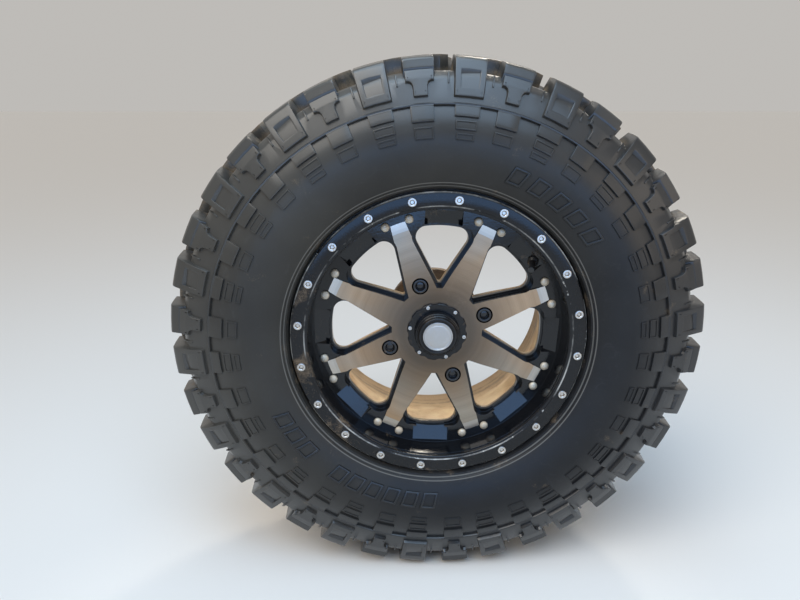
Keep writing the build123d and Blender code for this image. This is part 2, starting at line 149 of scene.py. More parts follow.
# %% [markdown]
# ## Camera, floor and light
# The camera stands where the photographer's did: 0.93 m from the middle of the wheel and 0.66 m above
# the ground, looking down by 17 degrees through a wide lens.

# %% Camera
bpy.ops.object.camera_add(
    location=(-0.0606, -0.9153, 0.296), rotation=(math.radians(90 - 17.05), 0, math.radians(-0.7))
)
camera = bpy.context.object
camera.data.lens = 28.5
camera.data.sensor_width = 36
bpy.context.scene.camera = camera
bpy.context.scene.view_settings.view_transform = "Standard"
print("camera at", [round(c, 3) for c in camera.location], "with a lens of", round(camera.data.lens, 1), "mm")

# %% [markdown]
# A sun with a very wide disc lights the floor evenly from the upper left and leaves soft shadows. Two
# large cool panels, in front and above, stand in for the open sky that the gloss paint mirrors, and a
# bluer one for the sky low behind the photographer. A warm one on the right is the light that dry
# ground throws back. The bluer one shows in gloss alone, above all in the frame's sloping pockets. The
# last lamp shines through the open back of the wheel onto the dusty barrel, as the low sun does there.

# %% Lights
def add_lamp(kind, name, location, target, energy, colour):
    """A lamp that points at a target."""
    bpy.ops.object.light_add(type=kind, location=location)
    lamp = bpy.context.object
    lamp.name = lamp.data.name = name
    lamp.data.energy = energy
    lamp.data.color = colour
    lamp.rotation_euler = (Vector(target) - lamp.location).to_track_quat("-Z", "Y").to_euler()
    return lamp


def soft_panel(name, location, target, width, height, watts, colour):
    """An oblong area lamp."""
    lamp = add_lamp("AREA", name, location, target, watts, colour)
    lamp.data.shape = "RECTANGLE"
    lamp.data.size = width
    lamp.data.size_y = height
    return lamp


wheel_middle = (0, -0.08, 0)
sun = add_lamp("SUN", "wide_sun", (-1.6, -1.9, 2.6), wheel_middle, 1.6, (1.0, 0.95, 0.88))
sun.data.angle = math.radians(38)
soft_panel("sky_panel", (0.35, -1.5, 2.0), wheel_middle, 1.6, 1.6, 34, (0.46, 0.7, 1.0))
soft_panel("top_panel", (-0.2, -0.25, 1.7), wheel_middle, 1.1, 1.1, 15, (0.6, 0.8, 1.0))
low_sky = soft_panel("low_sky_panel", (0.1, -1.5, 0.15), (0.1, 0, 0.1), 1.5, 0.5, 7.5, (0.2, 0.48, 1.0))
low_sky.visible_diffuse = False
soft_panel("ground_bounce", (1.6, -1.5, 0.45), wheel_middle, 1.0, 1.0, 5, (1.0, 0.86, 0.7))
low_sun = add_lamp("SPOT", "low_sun_behind", (0.35, 1.05, 1.0), (0, -0.05, -0.06), 110, (1.0, 0.92, 0.8))
low_sun.data.spot_size = math.radians(17)
low_sun.data.spot_blend = 0.4
low_sun.data.shadow_soft_size = 0.3

# %% [markdown]
# The world gives an even light of its own. What the camera, gloss and glass see of it is a plain
# pale backdrop, which leaves the light on the object alone.

# %% Node helpers and the world
def feed(value, socket):
    """Gives a socket a plain value, or a link from another socket."""
    if isinstance(value, bpy.types.NodeSocket):
        socket.id_data.links.new(value, socket)
    else:
        socket.default_value = value


def add_node(tree, kind, inputs=None, **settings):
    """Adds a node, sets its properties, and feeds its inputs."""
    node = tree.nodes.new(kind)
    for name, value in settings.items():
        setattr(node, name, value)
    for name, value in (inputs or {}).items():
        feed(value, node.inputs[name])
    return node


def fed_node(kind, inputs, **settings):
    """Adds a node to the tree that the sockets among its inputs belong to."""
    tree = next(value.id_data for value in inputs.values() if isinstance(value, bpy.types.NodeSocket))
    return add_node(tree, kind, inputs, **settings)


def maths(operation, a, b=0.0, clamp=False):
    """The result of a Math node."""
    return fed_node("ShaderNodeMath", {0: a, 1: b}, operation=operation, use_clamp=clamp).outputs[0]


def times(a, b):
    """Two values multiplied."""
    return maths("MULTIPLY", a, b)


def plus(a, b):
    """Two values added."""
    return maths("ADD", a, b)


def minus(a, b):
    """The second value taken from the first."""
    return maths("SUBTRACT", a, b)


def between(share, a, b):
    """A value between two others, by a share from 0 to 1."""
    return fed_node("ShaderNodeMix", {0: share, 2: a, 3: b}).outputs[0]


def blend_colour(share, a, b, mode="MIX"):
    """A colour between two others, by a share from 0 to 1."""
    return fed_node("ShaderNodeMix", {0: share, 6: a, 7: b}, data_type="RGBA", blend_type=mode).outputs[2]


def ramp(value, low, high):
    """A value stretched so that low becomes 0 and high becomes 1, held in between."""
    inputs = {"Value": value, "From Min": low, "From Max": high}
    return fed_node("ShaderNodeMapRange", inputs).outputs["Result"]


def link(value, node, label):
    """Links a value to one of a node's sockets."""
    node.id_data.links.new(value, node.inputs[label])


world = bpy.data.worlds.new("soft_sky")
bpy.context.scene.world = world
world.use_nodes = True
sky = world.node_tree
sky.nodes.clear()
seen_by = add_node(sky, "ShaderNodeLightPath")
backdrop_rays = maths("MAXIMUM", seen_by.outputs["Is Camera Ray"], seen_by.outputs["Is Glossy Ray"])
backdrop_rays = maths("MAXIMUM", backdrop_rays, seen_by.outputs["Is Transmission Ray"])
even_light = add_node(sky, "ShaderNodeBackground", {"Color": (0.93, 0.96, 1, 1), "Strength": 0.28})
backdrop = add_node(sky, "ShaderNodeBackground", {"Color": (0.515, 0.5, 0.478, 1), "Strength": 1.0})
layers = {0: backdrop_rays, 1: even_light.outputs[0], 2: backdrop.outputs[0]}
both = add_node(sky, "ShaderNodeMixShader", layers)
add_node(sky, "ShaderNodeOutputWorld", {"Surface": both.outputs[0]})
print("world nodes:", len(sky.nodes))

# %% [markdown]
# The floor is a plain pale plane, far wider than the view, so that no edge of it shows.

# %% Floor
FLOOR_Z = -0.3592
bpy.ops.mesh.primitive_plane_add(size=160, location=(0, 0, FLOOR_Z))
floor = bpy.context.object
floor.name = "floor"
floor_paint = bpy.data.materials.new("pale_floor")
floor_paint.use_nodes = True
floor_shader = floor_paint.node_tree.nodes["Principled BSDF"]
floor_shader.inputs["Base Color"].default_value = (0.79, 0.765, 0.73, 1)
floor_shader.inputs["Roughness"].default_value = 0.9
floor.data.materials.append(floor_paint)
print("floor at", FLOOR_Z, "m")

# %% [markdown]
# ## Finishes
# Dust is the finish that every piece of this wheel shares, so it is a node group of its own. It is
# light brown, lies in soft patches, and breaks up into speckles where drops have dried. Each
# material says how much of it there is, and where, and how much of it is painted pale, as sunlight on it.

# %% Node group: road dust
def new_group(name, inputs, outputs):
    """A shader node group with named sockets, and its input and output nodes."""
    tree = bpy.data.node_groups.new(name, "ShaderNodeTree")
    for label, kind, value in inputs:
        socket = tree.interface.new_socket(label, in_out="INPUT", socket_type=kind)
        if value is not None:
            socket.default_value = value
    for label, kind in outputs:
        tree.interface.new_socket(label, in_out="OUTPUT", socket_type=kind)
    print("node group:", name)
    return tree, tree.nodes.new("NodeGroupInput").outputs, tree.nodes.new("NodeGroupOutput")


def noise(place, scale, detail, **more):
    """The value of a Noise Texture."""
    inputs = {"Vector": place, "Scale": scale, "Detail": detail, **more}
    return fed_node("ShaderNodeTexNoise", inputs).outputs[0]


FLOAT, COLOUR, VECTOR = "NodeSocketFloat", "NodeSocketColor", "NodeSocketVector"
dust, given, result = new_group(
    "road_dust",
    [
        ("Place", VECTOR, None),
        ("Amount", FLOAT, 0.3),
        ("Patch Scale", FLOAT, 14.0),
        ("Speckles", FLOAT, 0.5),
        ("Sunlit", FLOAT, 0.0),
    ],
    [("Mask", FLOAT), ("Colour", COLOUR), ("Height", FLOAT)],
)
patches = noise(given["Place"], given["Patch Scale"], 7.0, Roughness=0.62)
specks = fed_node("ShaderNodeTexVoronoi", {"Vector": given["Place"], "Scale": 330.0, "Randomness": 1.0})
fine = noise(given["Place"], 620.0, 3.0)
speck_mask = ramp(specks.outputs["Distance"], 0.34, 0.12)
speck_mask = times(speck_mask, maths("GREATER_THAN", fine, 0.52))
film = plus(patches, times(fine, 0.25))
wanted = minus(1.15, given["Amount"])
film = ramp(minus(film, wanted), -0.32, 0.26)
speckled = times(times(speck_mask, given["Speckles"]), given["Amount"])
mask = maths("MAXIMUM", film, speckled, clamp=True)
brown, tan = (0.34, 0.225, 0.13, 1), (0.60, 0.44, 0.275, 1)
pale_tan, cream = (0.72, 0.51, 0.30, 1), (0.93, 0.76, 0.51, 1)
tone = blend_colour(fine, brown, tan)
# Painted sunlight: this share turns the dust pale tan and cream, as if the sun were on it.
sunlit_tone = blend_colour(ramp(patches, 0.35, 0.65), pale_tan, cream)
tone = blend_colour(given["Sunlit"], tone, sunlit_tone)
link(mask, result, "Mask")
link(tone, result, "Colour")
link(times(mask, fine), result, "Height")

# %% [markdown]
# Paint, rubber and castings all have a faint texture of their own. This group gives a grain for
# bump and for small changes of gloss, at a scale that each material chooses.

# %% Node group: surface grain
grain, given, result = new_group(
    "surface_grain",
    [("Place", VECTOR, None), ("Scale", FLOAT, 400.0), ("Scuffs", FLOAT, 0.3)],
    [("Value", FLOAT), ("Height", FLOAT)],
)
pores = noise(given["Place"], given["Scale"], 4.0)
clouds = noise(given["Place"], 19.0, 5.0, Roughness=0.6)
scuffs = noise(given["Place"], 60.0, 8.0, Distortion=1.8)
scuff_lines = times(ramp(scuffs, 0.60, 0.72), given["Scuffs"])
uneven = plus(times(clouds, 0.7), scuff_lines)
link(uneven, result, "Value")
link(pores, result, "Height")

# %% [markdown]
# The spoke faces were cut on a lathe, so their grain runs in fine circles about the axle. The group
# below turns the distance from the axle into a one-way noise, which is the same idea as a record's
# grooves.

# %% Node group: lathe turning
def axes_of(place):
    """A place's X, Y and Z."""
    return fed_node("ShaderNodeSeparateXYZ", {0: place}).outputs


def radius_of(place):
    """The distance from the axle, in metres."""
    axes = axes_of(place)
    squares = [times(axes[label], axes[label]) for label in ("X", "Z")]
    return maths("SQRT", plus(*squares))


def noise_along(length, scale, detail):
    """The value of a Noise Texture in one direction only."""
    inputs = {"W": length, "Scale": scale, "Detail": detail}
    return fed_node("ShaderNodeTexNoise", inputs, noise_dimensions="1D").outputs[0]


turning, given, result = new_group(
    "lathe_turning",
    [("Place", VECTOR, None), ("Scale", FLOAT, 1500.0)],
    [("Value", FLOAT), ("Height", FLOAT)],
)
from_axle = radius_of(given["Place"])
grooves = noise_along(from_axle, given["Scale"], 3.0)
bands = noise_along(from_axle, 120.0, 2.0)
mixed = plus(grooves, times(bands, 0.6))
link(mixed, result, "Value")
link(grooves, result, "Height")


# %% [markdown]
# One function starts every material: a Principled BSDF with its plain values on its own sockets,
# and Object coordinates for the patterns, since each piece's mesh lies in its true place.

# %% Materials: a common start
def new_material(name, **sockets):
    """A material, its Principled BSDF and the Object coordinates."""
    material = bpy.data.materials.new(name)
    material.use_nodes = True
    shader = material.node_tree.nodes["Principled BSDF"]
    for label, value in sockets.items():
        shader.inputs[label.replace("_", " ")].default_value = value
    place = add_node(material.node_tree, "ShaderNodeTexCoord").outputs["Object"]
    print("material:", name)
    return material, shader, place


def use_group(group, **inputs):
    """Places a node group beside the sockets that feed it."""
    inputs = {label.replace("_", " "): value for label, value in inputs.items()}
    return fed_node("ShaderNodeGroup", inputs, node_tree=group).outputs


def bump(height, strength, distance):
    """A Bump node's normal."""
    inputs = {"Height": height, "Strength": strength, "Distance": distance}
    return fed_node("ShaderNodeBump", inputs).outputs[0]


def dusty(
    name,
    colour,
    rough,
    metallic=0.0,
    amount=0.3,
    pale=0.0,
    patch=14.0,
    speckles=0.5,
    grain_scale=420.0,
    bumpy=0.00004,
    worn_edge=None,
    **sockets,
):
    """A painted or bare surface with its own grain, under more or less dust."""
    material, shader, place = new_material(name, **sockets)
    skin = use_group(grain, Place=place, Scale=grain_scale)
    amount, pale = [value(place) if callable(value) else value for value in (amount, pale)]
    inputs = {"Amount": amount, "Patch_Scale": patch, "Speckles": speckles, "Sunlit": pale}
    cover = use_group(dust, Place=place, **inputs)
    lighter = [1.5 * part for part in colour]
    shade = blend_colour(times(skin["Value"], 0.5), (*colour, 1), (*lighter, 1))
    # Painted highlights along edges, for the pieces that ask for them.
    if worn_edge:
        highlight_grey = (0.4, 0.4, 0.39, 1)
        shade = blend_colour(worn_edge(place, skin["Value"]), shade, highlight_grey)
    link(blend_colour(cover["Mask"], shade, cover["Colour"]), shader, "Base Color")
    worn = plus(rough, times(minus(skin["Value"], 0.35), 0.25))
    gloss = between(cover["Mask"], worn, 0.92)
    link(maths("MINIMUM", gloss, 1.0, clamp=True), shader, "Roughness")
    if metallic:
        link(times(minus(1.0, cover["Mask"]), metallic), shader, "Metallic")
    relief = plus(skin["Height"], times(cover["Height"], 1.5))
    link(bump(relief, 0.5, bumpy * 4), shader, "Normal")
    return material


# %% [markdown]
# ## Tyre
# A real tyre is moulded by a ring of identical metal inserts, one for each pitch of the tread. It is
# modelled the same way. One pitch of 20 degrees is drawn flat as a sheet, from the middle of the tread
# over the shoulder and down the sidewall to the bead and back inside. Outlines are cut into the
# sheet with bisect and raised with inset, which gives each lug the draft a mould needs. The sheet
# is then wrapped onto the tyre's section and spun round 18 times.

# %% The tyre's section
PITCH = 20.0
PITCHES = 18
PITCH_START = 69.83
TREAD_RADIUS = 359
PER_DEGREE = TREAD_RADIUS * MM * math.pi / 180
LUG_HEIGHT = 16 * MM
SHOULDER = (97, 352)


def side(radius):
    """How far down the flat sheet a radius of the sidewall lies."""
    return (SHOULDER[0] + SHOULDER[1] - radius) * MM


def arc_through(start, through, end, count):
    """Points along the circle through three points, without the first."""
    a, b, c = (complex(*p) for p in (start, through, end))
    w = (c - a) / (b - a)
    centre = (b - a) * (w - abs(w) ** 2) / (2j * w.imag) + a
    first, last = np.angle(a - centre), np.angle(c - centre)
    turn = (last - first + math.pi) % (2 * math.pi) - math.pi
    spots = [centre + abs(a - centre) * np.exp(1j * (first + turn * k / count)) for k in range(1, count + 1)]
    return [(p.real, p.imag) for p in spots]


# each row: place on the flat sheet, then the radius and the depth out that it is wrapped to
groove_rows = [(0, 341, 0), (50, 338.6, 46), (92, 336.4, 85.5), (97, 335.6, 90), (101, 334.6, 93.6)]
groove_rows += [(107, 331.6, 98.3), (114, 329, 102.3), (121.5, 326.3, 104.6), (149, 300.3, 113.5)]
groove_rows += [(149.8, 299.4, 114.9), (151.2, 298, 114.9), (152, 297, 113.9), (152.6, 296.4, 111.9)]
lug_rows = [(0, 359, 0), (24, 358.6, 24), (50, 357.2, 50), (75, 354.9, 75), (92.5, 352.6, 92.5)]
lug_rows += [(94.8, 351.9, 94.6), (97, 350.9, 96.5), (99.2, 349.5, 98.1), (101.5, 347.8, 99.2)]
lug_rows += [(121.5, 328.3, 108.4), (146, 304, 116.5), (149.8, 299.4, 115), (151.2, 298, 115)]
lug_rows += [(152.6, 297, 116.9)]
for radius, out in arc_through((296.4, 111.9), (257, 122.3), (206.2, 108.5), 13):
    groove_rows.append((sum(SHOULDER) - radius, radius, out))
    lug_rows.append((sum(SHOULDER) - radius, radius + 0.5, out + 4.4))
bead_and_liner = [(205, 107.6), (204.4, 106.4), (203.6, 106), (203, 104.8), (202.2, 104.4)]
bead_and_liner += [(201.6, 103.2), (200.8, 102.8), (199.4, 98.5), (198.2, 97.2), (197.2, 88.8)]
bead_and_liner += [(181.9, 88.8), (177.9, 84.8), (177.9, 71.8), (197.2, 75.8), (227.1, 99.5)]
bead_and_liner += [(268.6, 110), (290, 103), (311.5, 90.5), (322, 50), (327, 0)]
for radius, out in bead_and_liner:
    place = groove_rows[-1][0] + math.dist((radius, out), groove_rows[-1][1:])
    groove_rows.append((place, radius, out))
    lug_rows.append((place, radius, out))
groove_rows, lug_rows = np.array(groove_rows) * MM, np.array(lug_rows) * MM
SHEET_END = groove_rows[-1][0]
print("flat sheet:", round(PITCH * PER_DEGREE / MM, 1), "by", round(SHEET_END / MM, 1), "mm")


# %% [markdown]
# Bisect cuts only what is selected. For each straight side of an outline, the faces under it are
# selected and cut along that side, and the faces inside all the sides are what the inset raises.

# %% Cutting and raising outlines on the sheet
def sides_of(outline):
    """The sides of a convex outline, each as a point and the direction that points out of it."""
    centre = np.mean(outline, axis=0)
    found = []
    for a, b in zip(outline, outline[1:] + outline[:1]):
        outward = np.array((b[1] - a[1], a[0] - b[0]))
        if np.dot(centre - a, outward) > 0:
            outward = -outward
        found.append((a, outward))
    return found


def on_level(face, level):
    """Whether a face of the sheet lies flat at a level."""
    return abs(face.normal.z) > 0.9 and abs(face.calc_center_median().z - level) < 0.01 * MM


def under(face, outline, level):
    """Whether a face at a level reaches under an outline's box."""
    if not on_level(face, level):
        return False
    corners = np.array([corner.co[:2] for corner in face.verts])
    low, high = np.min(outline, axis=0) + 1e-6, np.max(outline, axis=0) - 1e-6
    return bool((corners.max(0) > low).all() and (corners.min(0) < high).all())


def inside(face, outline, level):
    """Whether a face at a level lies within an outline."""
    if not on_level(face, level):
        return False
    spot = np.array(face.calc_center_median()[:2])
    return all(np.dot(spot - a, outward) < 0 for a, outward in sides_of(outline))


def raise_outlines(sheet, outlines, height, draft, level=0.0):
    """Cuts convex outlines into the sheet and raises or sinks what they enclose as one shape."""
    for outline in outlines:
        for corner, outward in sides_of(outline):
            pick(sheet, lambda face: under(face, outline, level))
            bpy.ops.mesh.bisect(plane_co=(*corner, 0), plane_no=(*outward, 0), threshold=1e-6)
    pick(sheet, lambda face: any(inside(face, outline, level) for outline in outlines))
    bpy.ops.mesh.inset(thickness=draft * MM, depth=height, use_even_offset=True)


def block(centre, half, top, bottom):
    """A rectangle on the sheet, from its middle and half width in degrees and its two ends."""
    left, right = (centre - half) * PER_DEGREE, (centre + half) * PER_DEGREE
    return [(left, top), (right, top), (right, bottom), (left, bottom)]


def taper(centre, half_top, half_bottom, top, bottom):
    """A block whose two ends differ in width."""
    widths = ((-half_top, top), (half_top, top), (half_bottom, bottom), (-half_bottom, bottom))
    return [((centre + wide) * PER_DEGREE, place) for wide, place in widths]


def plan(centre, points):
    """An outline on the tread, from millimetres along it and out from its middle."""
    return [(centre * PER_DEGREE - along * MM, out * MM) for along, out in points]


# %% [markdown]
# Each centre block stands where two shoulder lugs leave a gap, so no straight line across the sheet
# misses them all. The sheet is split between the two rows and its inner strip slides round by 5
# degrees, and then every border runs through a gap. Narrow strips along the borders take the same
# cuts on both sides, so that the pitches and the tyre's two halves meet point to point.

# %% The blank sheet
SPLIT, SLIDE, MARGIN = 49 * MM, 5.0, 0.3
bpy.ops.mesh.primitive_plane_add(size=1)
tyre = bpy.context.object
edit(tyre)
pick_all()
bpy.ops.transform.resize(value=(PITCH * PER_DEGREE, SHEET_END, 1))
bpy.ops.transform.translate(value=(PITCH * PER_DEGREE / 2, SHEET_END / 2, 0))
bpy.ops.mesh.bisect(plane_co=(0, SPLIT, 0), plane_no=(0, 1, 0))
pick(tyre, lambda face: face.calc_center_median().y < SPLIT)
bpy.ops.mesh.split()
bpy.ops.transform.translate(value=(SLIDE * PER_DEGREE, 0, 0))
for line in (4.5 * MM, SPLIT - 1 * MM, SPLIT + 1 * MM, side(200)):
    pick_all()
    bpy.ops.mesh.bisect(plane_co=(0, line, 0), plane_no=(0, 1, 0))
strips = [
    (0, SPLIT, (SLIDE + MARGIN, SLIDE + PITCH - MARGIN)),
    (SPLIT, SHEET_END, (MARGIN, PITCH - MARGIN)),
    (0, 4.5 * MM, (15 - MARGIN, 15 + MARGIN)),
    (SPLIT - 1 * MM, SPLIT, (PITCH - MARGIN, PITCH + MARGIN)),
    (SPLIT, SPLIT + 1 * MM, (SLIDE - MARGIN, SLIDE + MARGIN)),
    (side(200), SHEET_END, (10 - MARGIN, 10 + MARGIN)),
]
for low, high, lines in strips:
    for line in lines:
        pick(tyre, lambda face: low < face.calc_center_median().y < high)
        bpy.ops.mesh.bisect(plane_co=(line * PER_DEGREE, 0, 0), plane_no=(1, 0, 0))
bpy.ops.mesh.select_mode(type="EDGE")
pick_all()
bpy.ops.mesh.mark_seam()
print("faces of the blank sheet:", len(bmesh.from_edit_mesh(tyre.data).faces))

# %% [markdown]
# Two kinds of shoulder lug take turns: one with a square window in its side, and one that narrows
# in steps to a tab. Below them a ring of teeth and small framed plates run down the sidewall.

# %% One flat pitch
WINDOW_LUG, STEPPED_LUG = 14.77, 5.17
CENTRE_LEAD = 4.0
raise_outlines(tyre, [block(WINDOW_LUG, 3.3, 52 * MM, side(306))], LUG_HEIGHT, 1.4)
raise_outlines(tyre, [block(STEPPED_LUG, 3.25, 58 * MM, side(341.5))], LUG_HEIGHT, 1.2)
stepped_face = [
    block(STEPPED_LUG, 3.0, side(338), side(324.5)),
    taper(STEPPED_LUG, 2.35, 1.85, side(324.5), side(322.6)),
    taper(STEPPED_LUG, 1.85, 1.6, side(322.6), side(319)),
    block(STEPPED_LUG, 1.6, side(319), side(307)),
]
raise_outlines(tyre, stepped_face, LUG_HEIGHT, 0.8)
long_block = [(-24, 6.5), (16, 6.5), (26, 30), (26, 44), (-14, 44), (-24, 22)]
short_block = [(-20, 6.5), (18, 6.5), (18, 34), (6, 46), (-20, 40)]
LONG, SHORT = WINDOW_LUG - CENTRE_LEAD, STEPPED_LUG - CENTRE_LEAD + PITCH
raise_outlines(tyre, [plan(LONG, long_block)], LUG_HEIGHT, 1.5)
raise_outlines(tyre, [plan(SHORT, short_block)], LUG_HEIGHT, 1.5)
TOOTH, PLATE = 10.5 * MM, 6.5 * MM
raise_outlines(tyre, [block(WINDOW_LUG, 2.9, 151.2 * MM, side(285))], TOOTH, 0.35)
raise_outlines(tyre, [block(STEPPED_LUG, 2.7, 151.2 * MM, side(279))], TOOTH, 0.35)
plates = [(WINDOW_LUG, 2.6, 281, 270), (WINDOW_LUG, 2.35, 266.5, 258.5), (STEPPED_LUG, 2.45, 273.5, 259.5)]
for centre, half, top, bottom in plates:
    raise_outlines(tyre, [block(centre, half, side(top), side(bottom))], PLATE, 0.4)
    field = block(centre, half - 0.34, side(top - 1.7), side(bottom + 1.7))
    raise_outlines(tyre, [field], -4 * MM, 0.3, level=PLATE)
for ejector in (9.9, 19.2):
    raise_outlines(tyre, [block(ejector, 0.2, side(343), side(322))], 5 * MM, 0.3)

# %% [markdown]
# The window in a lug is deepest towards the tread and on one side, and runs out level at the far
# corner. Its floor is pressed in flat and then tilted, by setting each corner's height.

# %% Tilted window
window = (WINDOW_LUG - 1.95, WINDOW_LUG + 1.95, side(337.8), side(316.5))
raise_outlines(tyre, [block(WINDOW_LUG, 1.95, window[2], window[3])], -9 * MM, 0.4, level=LUG_HEIGHT)
sheet = bmesh.from_edit_mesh(tyre.data)
window_floor = [face for face in sheet.faces if on_level(face, LUG_HEIGHT - 9 * MM)]
floor_corners = {corner for face in window_floor for corner in face.verts}
for corner in floor_corners:
    round_it = (corner.co.x / PER_DEGREE - window[0]) / (window[1] - window[0])
    down_it = (corner.co.y - window[2]) / (window[3] - window[2])
    corner.co.z = LUG_HEIGHT - 10 * MM * (1 - 0.4 * (1 - round_it) - 0.5 * down_it)
bmesh.update_edit_mesh(tyre.data)
print("faces of the flat pitch:", len(sheet.faces), "window corners:", len(floor_corners))

# %% [markdown]
# The spare cuts are dissolved before the bevel, so that it can run along whole edges. The lugs get
# a wider round than the shallow plates. Sipes, the thin slits that help a block grip, and the short
# marks near a lug's corners come after it.

# %% Rounded edges and sipes
bpy.ops.mesh.select_mode(type="FACE")
pick_all()
bpy.ops.mesh.dissolve_limited(angle_limit=math.radians(1), delimit={"SEAM"})
round_off(tyre, lambda edge: edge.is_convex and middle(edge).y < side(304), 1.2, profile=0.6)
round_off(tyre, lambda edge: edge.is_convex and side(304) < middle(edge).y < side(240), 0.4, segments=1)
sipes = [
    plan(LONG, [(-9, 24), (9, 28), (9, 29.4), (-9, 25.4)]),
    plan(SHORT, [(-11, 22), (8, 20), (8, 21.4), (-11, 23.4)]),
    block(WINDOW_LUG, 1.9, 74 * MM, 75.4 * MM),
    block(STEPPED_LUG, 1.9, 76 * MM, 77.4 * MM),
]
for slit in sipes:
    raise_outlines(tyre, [slit], -9 * MM, 0.15, level=LUG_HEIGHT)
for centre, shift, radius in ((WINDOW_LUG, 2.6, 311.6), (STEPPED_LUG, 2.4, 328), (STEPPED_LUG, 1.1, 311.6)):
    for spot in (centre - shift, centre + shift):
        mark = block(spot, 0.08, side(radius + 1.6), side(radius - 1.6))
        raise_outlines(tyre, [mark], -4 * MM, 0.1, level=LUG_HEIGHT)

# %% [markdown]
# The flat faces are sliced finely enough to follow the tyre's curves, and wrapped. Each point moves
# to its place between two sections of the tyre, one through the grooves and one over the lugs. The
# bar above a stepped lug slopes down to the groove below it, so it is let down there on the way.

# %% Wrap the pitch and spin it round
for step in range(1, 10):
    pick_all()
    bpy.ops.mesh.bisect(plane_co=(step * PITCH / 8 * PER_DEGREE, 0, 0), plane_no=(1, 0, 0), threshold=1e-6)
for row in sorted({round(float(row), 6) for row in (*groove_rows[1:-1, 0], *lug_rows[1:-1, 0])}):
    pick_all()
    bpy.ops.mesh.bisect(plane_co=(0, row, 0), plane_no=(0, 1, 0), threshold=1e-6)
bpy.ops.object.mode_set(mode="OBJECT")

flat = np.empty(len(tyre.data.vertices) * 3)
tyre.data.vertices.foreach_get("co", flat)
along, across, height = flat.reshape(-1, 3).T
on_bar = (abs(along / PER_DEGREE - STEPPED_LUG) < 3.5) & (across < side(340))
height = height * (1 - 0.24 * on_bar * np.clip((across - 99 * MM) / (7 * MM), 0, 1))
print("highest point of the flat pitch:", round(height.max() / MM, 2), "mm")
share = height / LUG_HEIGHT
sections = [[np.interp(across, rows[:, 0], rows[:, k]) for k in (1, 2)] for rows in (groove_rows, lug_rows)]
radius, out = [(1 - share) * sections[0][k] + share * sections[1][k] for k in (0, 1)]
turn = np.radians(PITCH_START + along / PER_DEGREE)
wrapped = np.stack([radius * np.cos(turn), CENTRE_Y - out, radius * np.sin(turn)], -1)
tyre.data.vertices.foreach_set("co", wrapped.ravel())
relief = tyre.data.attributes.new("lug_height", "FLOAT", "POINT")
relief.data.foreach_set("value", np.clip(share, 0, 1).astype(np.float32))

edit(tyre)
pick_all()
round_trip = math.radians(PITCH * (PITCHES - 1))
bpy.ops.mesh.spin(steps=PITCHES - 1, dupli=True, angle=round_trip, center=(0, 0, 0), axis=(0, 1, 0))
pick_all()
bpy.ops.mesh.remove_doubles(threshold=0.002 * MM)
bpy.ops.mesh.duplicate()
centre = (0, CENTRE_Y, 0)
bpy.ops.transform.resize(value=(1, -1, 1), center_override=centre)
bpy.ops.transform.rotate(value=math.radians(PITCH / 2), orient_axis="Y", center_override=centre)
leave_edit(tyre, "lugged_tyre")
check = bmesh.new()
check.from_mesh(tyre.data)
open_edges = sum(len(edge.link_faces) != 2 for edge in check.edges)
print("tyre faces:", len(check.faces), "open edges:", open_edges)
check.free()


# %% [markdown]
# Rubber is nearly black with a soft sheen. Dust clings to the worn edge of the tread, in the grooves
# and beside the rim. A faint brown haze lies over the sidewall, painted stronger over its upper left as
# light falling there. The height of each lug, kept as an attribute when the sheet was wrapped, tells
# the grooves from the faces. Two thin ridges beside the rim are painted pale, as highlights along them.
# A thin coat makes the lugs glossier than the dull sidewall.

# %% Tyre rubber
def depth_out(place):
    """How far out of the wheel's centre plane a place is, in metres."""
    return minus(CENTRE_Y, axes_of(place)["Y"])


def towards(place, right, up):
    """How far a place lies in a direction across the wheel's face."""
    axes = axes_of(place)
    return plus(times(axes["X"], right), times(axes["Z"], up))


def off_circles(reach, radii):
    """How far a radius is from the nearer of two circles."""
    gaps = [maths("ABSOLUTE", minus(reach, radius * MM)) for radius in radii]
    return maths("MINIMUM", *gaps)


rubber, shader, place = new_material("tyre_rubber", Specular_IOR_Level=0.24, Coat_Roughness=0.27)
reach = radius_of(place)
lug = add_node(rubber.node_tree, "ShaderNodeAttribute", attribute_name="lug_height").outputs["Fac"]
tread_face = times(ramp(reach, 0.349, 0.3575), 0.36)
from_middle = maths("ABSOLUTE", depth_out(place))
in_groove = times(ramp(from_middle, 0.095, 0.07), ramp(lug, 0.75, 0.1))
in_groove = times(in_groove, maths("GREATER_THAN", reach, 0.332))
tread = plus(tread_face, times(in_groove, 0.34))
near_rim = times(ramp(reach, 0.212, 0.199), 0.1)
amount = plus(plus(tread, near_rim), 0.05)
cover = use_group(dust, Place=place, Amount=amount, Patch_Scale=30.0, Speckles=0.3)
skin = use_group(grain, Place=place, Scale=900.0, Scuffs=0.45)
black = blend_colour(skin["Value"], (0.005, 0.0055, 0.007, 1), (0.0165, 0.0172, 0.0195, 1))
# Painted light: the brown haze is made stronger over the sidewall's upper left, where the light falls.
lit_upper_left = times(ramp(towards(place, 0.8, -0.5), 0.13, -0.22), 0.19)
haze_and_painted_light = times(noise(place, 5.0, 3.0), plus(0.02, lit_upper_left))
painted_light_base = blend_colour(haze_and_painted_light, black, (0.31, 0.28, 0.22, 1))
